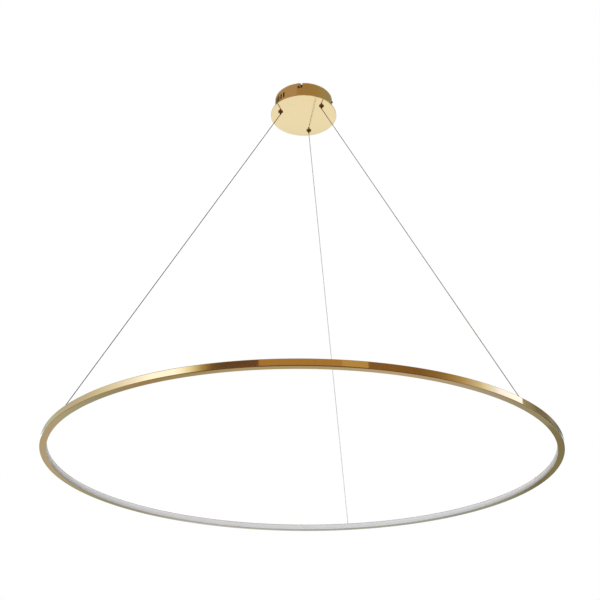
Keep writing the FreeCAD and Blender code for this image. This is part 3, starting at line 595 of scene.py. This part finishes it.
# %% [markdown]
# ## The ring
#
# The real ring starts as a straight aluminium extrusion. A three-roll bender curls it into two
# half circles, the wire holes are drilled in its top, and splice bars join the halves. Geometry
# Nodes can repeat those steps: draw the section, pull it straight along a line, roll every point
# round the axis, and drill. The same tree then rolls the diffuser, which is another section.
# Sweeping the section along an arc would be shorter, but its end faces would lean by half a
# segment, and rolling keeps both ends square.

# %% Draw a section
HOLD_MM = 0.05


def rounded(corners, radii, steps=6):
    """An outline in millimetres with its corners rounded. radii maps a corner's number to its radius.

    A point just past each end of a rounding holds the flat beside it, so that it shades flat."""
    points = []
    for i, (x, y) in enumerate(corners):
        corner = Vector((x, y))
        if i not in radii:
            points.append(corner)
            continue
        back = (Vector(corners[i - 1]) - corner).normalized()
        ahead = (Vector(corners[(i + 1) % len(corners)]) - corner).normalized()
        centre = corner + radii[i] * (back + ahead)
        points.append(corner + (radii[i] + HOLD_MM) * back)
        for k in range(steps + 1):
            angle = math.pi / 2 * k / steps
            points.append(centre - radii[i] * (ahead * math.cos(angle) + back * math.sin(angle)))
        points.append(corner + (radii[i] + HOLD_MM) * ahead)
    return points


def section_mesh(name, points):
    """A closed outline as a mesh of edges. X is the distance outwards, and -Y is up for the sweep."""
    mesh = bpy.data.meshes.new(name)
    edges = [(i, (i + 1) % len(points)) for i in range(len(points))]
    mesh.from_pydata([(p.x * MM, -p.y * MM, 0.0) for p in points], edges, [])
    return mesh


# %% The two sections, in millimetres from the ring's inner lower corner
PROFILE = [(2.4, 1.7), (3.2, 1.7), (3.2, 1.2), (13.6, 1.2), (13.6, 13.8), (3.2, 13.8), (3.2, 13.3),
           (2.4, 13.3), (2.4, 13.8), (0, 13.8), (0, 15), (15, 15), (15, 0), (0, 0), (0, 1.2), (2.4, 1.2)]
PROFILE_ROUNDS = {10: 0.3, 11: 1.5, 12: 1.5, 13: 0.3}
LEG = [(1.6, 2.6), (4.6, 2.6), (4.6, 1.8), (3.3, 1.3), (3.3, 1.8), (1.6, 1.8), (1.6, 1.3), (0.1, 1.3)]
DIFFUSER = LEG + [(x, 15 - y) for x, y in reversed(LEG)]
DIFFUSER_ROUNDS = {7: 0.3, 8: 0.3}
sections = {"profile": section_mesh("profile_section", rounded(PROFILE, PROFILE_ROUNDS)),
            "diffuser": section_mesh("diffuser_section", rounded(DIFFUSER, DIFFUSER_ROUNDS))}
print("section points:", {name: len(mesh.vertices) for name, mesh in sections.items()})

# %% The bending and drilling tree
PROFILE_HEIGHT = 15.0 * MM
DRILL_LENGTH = 10.0 * MM
DRILL_SIDES = 32


def ring_tree():
    """Section in, rolled and drilled half ring out."""
    tree = bpy.data.node_groups.new("roll_and_drill", "GeometryNodeTree")
    tree.interface.new_socket("Section", in_out="INPUT", socket_type="NodeSocketGeometry")
    for name in ("Inner radius", "Start angle", "Sweep", "Height",
                 "Hole radius", "Hole circle", "First hole"):
        tree.interface.new_socket(name, in_out="INPUT", socket_type="NodeSocketFloat")
    tree.interface.new_socket("Segments", in_out="INPUT", socket_type="NodeSocketInt")
    tree.interface.new_socket("Finish", in_out="INPUT", socket_type="NodeSocketMaterial")
    tree.interface.new_socket("Ring", in_out="OUTPUT", socket_type="NodeSocketGeometry")
    given = add(tree, "NodeGroupInput").outputs

    outline = add(tree, "GeometryNodeMeshToCurve", {"Mesh": given["Section"]})
    rail = add(tree, "GeometryNodeCurvePrimitiveLine", {"End": (0.0, 1.0, 0.0)})
    stops = add(tree, "GeometryNodeResampleCurve", {"Curve": rail.outputs[0], "Count": given["Segments"]})
    straight = add(tree, "GeometryNodeCurveToMesh",
                   {"Curve": stops.outputs[0], "Profile Curve": outline.outputs[0], "Fill Caps": True})

    here = add(tree, "GeometryNodeInputPosition")
    split = add(tree, "ShaderNodeSeparateXYZ", {"Vector": here.outputs[0]})
    angle = add(tree, "ShaderNodeMath", {0: split.outputs["Y"], 1: given["Sweep"], 2: given["Start angle"]},
                operation="MULTIPLY_ADD").outputs[0]
    radius = add(tree, "ShaderNodeMath", {0: split.outputs["X"], 1: given["Inner radius"]}).outputs[0]
    height = add(tree, "ShaderNodeMath", {0: split.outputs["Z"], 1: given["Height"]}).outputs[0]
    sides = []
    for operation in ("COSINE", "SINE"):
        ratio = add(tree, "ShaderNodeMath", {0: angle}, operation=operation).outputs[0]
        sides.append(add(tree, "ShaderNodeMath", {0: ratio, 1: radius}, operation="MULTIPLY").outputs[0])
    there = add(tree, "ShaderNodeCombineXYZ", {"X": sides[0], "Y": sides[1], "Z": height})
    rolled = add(tree, "GeometryNodeSetPosition",
                 {"Geometry": straight.outputs[0], "Position": there.outputs[0]})

    marks = add(tree, "GeometryNodeMeshCircle",
                {"Vertices": len(GRIPPER_AZIMUTHS), "Radius": given["Hole circle"]})
    turn = add(tree, "ShaderNodeCombineXYZ", {"Z": given["First hole"]})
    lift = add(tree, "ShaderNodeCombineXYZ", {"Z": given["Height"]})
    turned = add(tree, "GeometryNodeTransform", {"Geometry": marks.outputs[0], "Rotation": turn.outputs[0],
                                                 "Translation": lift.outputs[0]})
    drill = add(tree, "GeometryNodeMeshCylinder", {"Vertices": DRILL_SIDES, "Radius": given["Hole radius"],
                                                   "Depth": DRILL_LENGTH})
    raised = add(tree, "GeometryNodeTransform", {"Geometry": drill.outputs["Mesh"],
                                                 "Translation": (0.0, 0.0, PROFILE_HEIGHT)})
    drills = add(tree, "GeometryNodeInstanceOnPoints",
                 {"Points": turned.outputs[0], "Instance": raised.outputs[0]})
    solid_drills = add(tree, "GeometryNodeRealizeInstances", {"Geometry": drills.outputs[0]})
    drilled = add(tree, "GeometryNodeMeshBoolean", {"Mesh 1": rolled.outputs[0]}, operation="DIFFERENCE")
    tree.links.new(solid_drills.outputs[0], drilled.inputs["Mesh 2"])

    whole = add(tree, "GeometryNodeRealizeInstances", {"Geometry": drilled.outputs["Mesh"]})
    coated = add(tree, "GeometryNodeSetMaterial",
                 {"Geometry": whole.outputs[0], "Material": given["Finish"]})
    add(tree, "NodeGroupOutput", {"Ring": coated.outputs[0]})
    return tree


# %% Run a tree
SHARP_ANGLE = math.radians(25.0)


def grow(name, start_mesh, tree, values):
    """Runs a Geometry Nodes tree on a mesh, and gives the result as a plain mesh object."""
    maker = bpy.data.objects.new(name, start_mesh)
    bpy.context.collection.objects.link(maker)
    rule = maker.modifiers.new("rule", "NODES")
    rule.node_group = tree
    for socket in tree.interface.items_tree:
        if socket.in_out == "INPUT" and socket.name in values:
            rule[socket.identifier] = values[socket.name]
    made = bpy.data.meshes.new_from_object(maker.evaluated_get(bpy.context.evaluated_depsgraph_get()))
    maker.modifiers.remove(rule)
    maker.data = made
    made.name = name
    made.shade_smooth()
    made.set_sharp_from_angle(angle=SHARP_ANGLE)
    return maker


# %% Roll the two halves of the ring and of its diffuser
# The azimuths of the two seams, one at the front and one at the far side.
SEAMS = (2.2, 178.9)
SEAM_GAP = 0.3 * MM
INNER_RADIUS = 0.585
RING_UNDERSIDE = -1.0755
HOLE_RADIUS = 2.2 * MM
STOPS_PER_HALF = 241
# The drills pass outside the diffuser, so the same tree leaves it whole.
PIECES = {"profile": ("ring_profile", ring_gold, "gold_ring", RING_RADIUS),
          "diffuser": ("diffuser", opal, "opal", INNER_RADIUS)}
rolling = ring_tree()
for half, (first, last) in {"a": SEAMS, "b": (SEAMS[1], SEAMS[0] + 360)}.items():
    for kind, (node, finish, slot, seam_radius) in PIECES.items():
        trim = SEAM_GAP / 2 / seam_radius
        piece = grow(f"rolled_{node}_{half}", sections[kind], rolling, {
            "Inner radius": INNER_RADIUS, "Start angle": math.radians(first - 90) + trim,
            "Sweep": math.radians(last - first) - 2 * trim, "Height": RING_UNDERSIDE,
            "Hole radius": HOLE_RADIUS, "Hole circle": RING_ENTRY,
            "First hole": math.radians(GRIPPER_AZIMUTHS[0] - 90),
            "Segments": STOPS_PER_HALF, "Finish": finish})
        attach(piece, "ring")
        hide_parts(f"{node}_{half}")
        report(piece)

# %% [markdown]
# ## The studio
#
# Polished metal has hardly any colour of its own: it shows the room. So the studio is built from
# cards, as a product photographer would: white softboxes for the bright streaks, brown and dark
# flags between them for contrast, and a plain white world. The cards are seen by reflections
# only, never by the camera, and give no light, so other surfaces are lit plainly and softly.

# %% Cards
NEAR, FAR = 2.0, 4.0
CARD_STEP = 3


def light_of(stop):
    """A stop's colour as light: its linear values times its strength, which is 1 where left out."""
    colour, strength = (*stop[1:], 1.0)[:2]
    return [channel * strength for channel in linear(colour)[:3]]


def card(name, rows, stops):
    """A curved card round the lamp that only reflections see.

    rows are its edges as (distance, height), or (distance, height in front, extra height behind).
    stops are (azimuth, hex colour) or (azimuth, hex colour, strength), blended in between."""
    shape = bmesh.new()
    paint_layer = shape.verts.layers.float_color.new("glow")
    columns = []
    for start, stop in zip(stops, stops[1:]):
        first, last = start[0], stop[0]
        ends = light_of(start), light_of(stop)
        steps = max(1, round((last - first) / CARD_STEP))
        for k in range(steps + 1):
            blend = k / steps
            shade = [a + (b - a) * blend for a, b in zip(*ends)]
            azimuth = first + (last - first) * blend
            behind = (azimuth / 180) ** 2
            column = [shape.verts.new(polar(distance, azimuth, height + sum(extra) * behind))
                      for distance, height, *extra in rows]
            for corner in column:
                corner[paint_layer] = (*shade, 1.0)
            columns.append(column)
    for left, right in zip(columns, columns[1:]):
        if (left[0].co - right[0].co).length < MM:
            continue
        for k in range(len(rows) - 1):
            shape.faces.new((left[k], right[k], right[k + 1], left[k + 1]))
    mesh = bpy.data.meshes.new(name)
    shape.to_mesh(mesh)
    shape.free()
    paper = bpy.data.materials.new(name)
    paper.use_nodes = True
    paper.node_tree.nodes.clear()
    blended = add(paper.node_tree, "ShaderNodeAttribute", attribute_name="glow")
    glow = add(paper.node_tree, "ShaderNodeEmission", {"Color": blended.outputs["Color"]})
    add(paper.node_tree, "ShaderNodeOutputMaterial", {"Surface": glow.outputs[0]})
    mesh.materials.append(paper)
    sheet = bpy.data.objects.new(name, mesh)
    bpy.context.collection.objects.link(sheet)
    for ray in ("camera", "diffuse", "transmission", "volume_scatter", "shadow"):
        setattr(sheet, "visible_" + ray, False)


# The camera's side at the lamp's height: a softbox on each side, brown flags and gold reflectors between.
card("front", [(FAR, 0.25), (FAR, 1.6)], [
    (-190, "#c4ccd0"), (-140, "#ccd4cc"), (-126, "#e3efd5"), (-118, "#eaefde"), (-105, "#f9f9f0"),
    (-95, "#fafff2", 1.11), (-85, "#f8fff4", 1.4), (-77, "#f2fbfc", 1.75), (-69, "#e6f2ff", 2.3),
    (-60, "#e0eeff", 3.0), (-50, "#e0eeff", 3.0), (-47, "#e8f4fa", 2.5), (-43, "#fbffde", 1.6),
    (-38.8, "#e7d38b"), (-34.5, "#997a59"), (-30, "#82674c"), (-16.4, "#8f6849"), (-16.4, "#e2b264"),
    (15, "#e2b264"), (15, "#f6d080"), (25, "#f6d080"), (25, "#aa824c"), (34, "#b08850"),
    (45, "#a8834f"), (56, "#c3a362"), (64, "#ead093"), (73, "#fffede", 1.2), (77, "#f9fff1", 1.64),
    (81, "#dcecff", 2.3), (85, "#d4deff", 3.2), (99, "#dce8ff", 3.3), (99, "#cbcaaf"), (106, "#b4b291"),
    (111, "#959577"), (118, "#9a916a"), (127, "#aaa896"), (134, "#828572"), (141, "#7c7e70"),
    (190, "#7c7e70")])
# Two narrow strips under it, the upper one light, are what the two lips beside the diffuser show.
card("upper_lip", [(FAR, 0.095, 0.11), (FAR, 0.25)], [
    (-150, "#d4dcf4", 3.2), (-110, "#bed0ff", 2.8), (-60, "#b8ccff", 2.3), (60, "#b8ccff", 2.3),
    (110, "#bed0ff", 2.8), (146, "#d4dcf4", 3.2)])
card("lower_lip", [(FAR, 0.05), (FAR, 0.095, 0.11)], [
    (-175, "#8a8070"), (-144, "#9a9080"), (-115, "#bed2ff", 0.9), (-60, "#b1c8ff", 1.6),
    (0, "#b1c8ff", 2.0), (60, "#b1c8ff", 1.7), (115, "#bed2ff", 1.03), (144, "#dbe4ff", 0.6),
    (175, "#c8ccd8", 0.5)])
# High up on the camera's side: what the canopy's wall shows.
card("above", [(FAR, 1.9), (FAR, 6.0)], [
    (-170, "#8a7c66"), (-130, "#8a7c66"), (-105, "#b59774"), (-34, "#b59774"), (-22, "#a6885a"),
    (40, "#a6885a"), (85, "#a6926a"), (125, "#989470"), (170, "#8e8c70")])
# Brown cloths on the floor and hung round it below the lamp: what the grippers and the ring's rounded
# lower edge show. One cloth lies under the lamp, and the others go on from its edge.
CLOTH_LEVEL = -2.55
CLOTH_EDGE = 1.2
CLOTHS = [
    (-180, "#cec493"), (-50, "#cec493"), (-36, "#8a6a2c"), (20, "#8a6a2c"), (25, "#a07a40"),
    (40, "#8a6430"), (55, "#96743c"), (64, "#c8a878"), (75, "#eae6d7"), (96, "#dcd6c0"),
    (106, "#a8a684"), (115, "#60522e"), (127, "#585038"), (137, "#70715f"), (180, "#6c6c60")]
outer_rows = [(CLOTH_EDGE, CLOTH_LEVEL), (FAR, CLOTH_LEVEL)]
card("floor_cloth", outer_rows, [stop for stop in CLOTHS if abs(stop[0]) < 140])
card("left_cloth", outer_rows, [(-142, "#cec493"), (-50, "#cec493")])
card("under_cloth", [(0.05, CLOTH_LEVEL), outer_rows[0]], [(-180, "#8a6a2c"), (180, "#8a6a2c")])
card("low_cloth", [(FAR, -2.5), (FAR, 0.05)], CLOTHS)
# Behind the lamp, low down: what the ring's underside shows of its near half, its sides and its far half.
BACK_LEVEL = -1.80
BACK_TOP = -1.2
card("behind_low", [(NEAR, CLOTH_LEVEL), (NEAR, BACK_LEVEL)], [
    (146, "#bcbca9"), (151, "#c4c6b0"), (155, "#d6d8cf"), (160, "#e2ddd4"), (168, "#f1e8d5"),
    (180, "#dddabd"), (189, "#e2d9bd"), (195, "#cdc8a6"), (201, "#cbb490"), (206, "#c2c9ba"),
    (210, "#d6dcc9"), (213, "#e4e3cc")])
card("behind_right", [(NEAR, BACK_LEVEL), (NEAR, BACK_TOP)], [
    (140, "#a2a07e"), (149, "#a2a07e"), (150.5, "#949279"), (152.7, "#a0aa95"), (155.7, "#b7c5bb"),
    (161, "#b7c9c9"), (167, "#c7dada"), (170, "#cde0e2")])
card("behind_far", [(NEAR, -1.455), (NEAR, BACK_TOP)], [
    (170, "#cde0e2"), (173.4, "#d2e6e8"), (180, "#d6ecf6"), (186.6, "#e4f6fc"), (190, "#e4f6ff")])
card("behind_left", [(NEAR, BACK_LEVEL), (NEAR, BACK_TOP)], [
    (190, "#e4f6ff"), (193, "#e4f6ff"), (199, "#c4c6c1"), (204.3, "#bcc2a8"), (208.5, "#d1d1b5"),
    (211, "#e0d8bf"), (216, "#e0d8bf")])

# %% [markdown]
# ## The ceiling round the canopy
#
# On a real ceiling no light gets into the canopy from above. A thin ring of card over the gap beside the
# ceiling plate does the same, so that the vents are dark. It is left out of pictures, because the photograph
# shows the lamp alone. A second, narrower strip inside the drum is seen; it is near-black, painted shade for
# the unlit ceiling inside the canopy, so that no backdrop shines through the vents. It stops short of the
# front slot, where the photograph's backdrop does show.

# %% Ceiling strips
STRIP_STEP = 5
ceiling_paint, tree, shader, place = new_finish("ceiling_paint", IOR=1.45)
dress(tree, shader, streaks(tree, place, 20.0), ("#e8e8e6", "#f0f0ee"), (0.8, 0.9), 0.0)
# Near-black: painted shade for the ceiling inside the canopy, where no light reaches.
painted_shade_ceiling, tree, shader, place = new_finish("painted_shade_ceiling", IOR=1.5)
dress(tree, shader, streaks(tree, place, 1.5), ("#060606", "#0d0d0d"), (0.9, 1.0), 0.0)


def ceiling_strip(name, inner, outer, height, first, last, finish, seen):
    """A flat strip round the axis from one azimuth to another, in even steps."""
    shape = bmesh.new()
    columns = [[shape.verts.new(polar(radius, azimuth, height)) for radius in (inner, outer)]
               for azimuth in range(first, last + 1, STRIP_STEP)]
    for left, right in zip(columns, columns[1:]):
        shape.faces.new((left[0], right[0], right[1], left[1]))
    mesh = bpy.data.meshes.new(name)
    shape.to_mesh(mesh)
    shape.free()
    mesh.materials.append(finish)
    strip = bpy.data.objects.new(name, mesh)
    bpy.context.collection.objects.link(strip)
    strip.visible_camera = seen


ceiling_strip("ceiling_strip", 0.070, 0.084, 0.10 * MM, 0, 360, ceiling_paint, False)
ceiling_strip("seen_strip", 0.071, 0.079, 0.05 * MM, 10, 340, painted_shade_ceiling, True)

# %% [markdown]
# ## World, floor and lamp
#
# The world is white for the camera and for reflections, and a little dimmer for lighting, so
# that pale plastic keeps its shade. The floor is a plain pale sheet 1.5 m under the ring. One
# large soft lamp from the front, a little to the left, gives the shapes a light and a darker side.

# %% World
LIGHTING = 0.62
world = bpy.data.worlds.new("studio_air")
world.use_nodes = True
air = world.node_tree
air.nodes.clear()
ray = add(air, "ShaderNodeLightPath").outputs
seen = add(air, "ShaderNodeMath", {0: ray["Is Camera Ray"], 1: ray["Is Glossy Ray"]}, operation="MAXIMUM")
seen_too = add(air, "ShaderNodeMath", {0: seen.outputs[0], 1: ray["Is Transmission Ray"]},
               operation="MAXIMUM")
lighting = add(air, "ShaderNodeBackground", {"Color": (1.0, 1.0, 1.0, 1.0), "Strength": LIGHTING})
backdrop = add(air, "ShaderNodeBackground", {"Color": (1.0, 1.0, 1.0, 1.0), "Strength": 1.0})
either = add(air, "ShaderNodeMixShader",
             {0: seen_too.outputs[0], 1: lighting.outputs[0], 2: backdrop.outputs[0]})
add(air, "ShaderNodeOutputWorld", {"Surface": either.outputs[0]})
bpy.context.scene.world = world

# %% Floor and lamp
FLOOR_HEIGHT = -2.6
FLOOR_REACH = 30.0
floor_mesh = bpy.data.meshes.new("floor")
corners = [(x * FLOOR_REACH, y * FLOOR_REACH, FLOOR_HEIGHT) for x, y in ((-1, -1), (1, -1), (1, 1), (-1, 1))]
floor_mesh.from_pydata(corners, [], [(0, 1, 2, 3)])
floor_paint, tree, shader, place = new_finish("pale_floor", IOR=1.45)
dress(tree, shader, streaks(tree, place, 40.0), ("#f6f6f6", "#fafafa"), (0.8, 0.9), 0.0)
path = add(tree, "ShaderNodeLightPath").outputs
mirrored = add(tree, "ShaderNodeMath", {0: path["Is Glossy Ray"], 1: path["Is Transmission Ray"]},
               operation="MAXIMUM")
glow = add(tree, "ShaderNodeEmission", {"Color": (1.0, 1.0, 1.0, 1.0), "Strength": 1.0})
choice = add(tree, "ShaderNodeMixShader",
             {0: mirrored.outputs[0], 1: shader.outputs["BSDF"], 2: glow.outputs[0]})
tree.links.new(choice.outputs[0], tree.nodes["Material Output"].inputs["Surface"])
floor_mesh.materials.append(floor_paint)
floor = bpy.data.objects.new("floor", floor_mesh)
bpy.context.collection.objects.link(floor)

LAMP_SIZE = 3.0
LAMP_WATTS = 90.0
LAMP_PLACE = Vector((-0.7, -3.8, 1.8))
LAMP_AIM = Vector((0.0, 0.0, -0.8))
lamp_data = bpy.data.lights.new("soft_lamp", "AREA")
lamp_data.size = LAMP_SIZE
lamp_data.energy = LAMP_WATTS
lamp = bpy.data.objects.new("soft_lamp", lamp_data)
lamp.location = LAMP_PLACE
lamp.rotation_euler = (LAMP_AIM - LAMP_PLACE).to_track_quat("-Z", "Y").to_euler()
lamp.visible_glossy = False
bpy.context.collection.objects.link(lamp)
